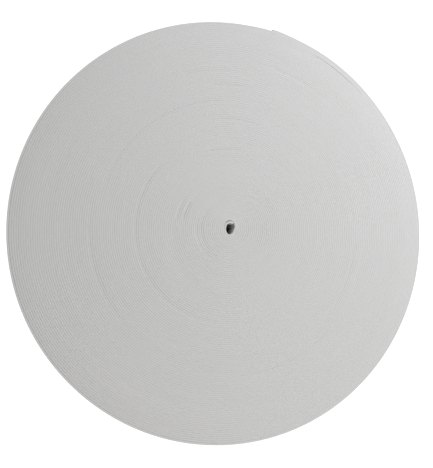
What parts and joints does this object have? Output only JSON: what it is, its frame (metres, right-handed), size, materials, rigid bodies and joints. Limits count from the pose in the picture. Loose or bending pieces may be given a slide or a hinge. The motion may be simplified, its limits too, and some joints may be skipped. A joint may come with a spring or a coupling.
{
  "type": "flat roll of elastic tape",
  "caption": "Flat coreless roll of white woven elastic tape, lying on its face, with a small oval hole and a loose outer end.",
  "frame": {"origin": "on the axis of the winding, at the face that the roll lies on", "axes": "+Z is the axis of the winding and points up; seen from above the tape runs outward counterclockwise and its outer end is cut at 77 degrees from +X towards +Y"},
  "size_m": [0.246, 0.2454, 0.0253],
  "materials": {
    "wound_elastic": "matt white elastic seen on its woven edges, turn beside turn",
    "loose_elastic": "matt white elastic with fine lengthwise ribs on its face"
  },
  "bodies": {
    "root": {"wound_roll": "wound_elastic", "loose_outer_end": "loose_elastic"}
  },
  "joints": []
}
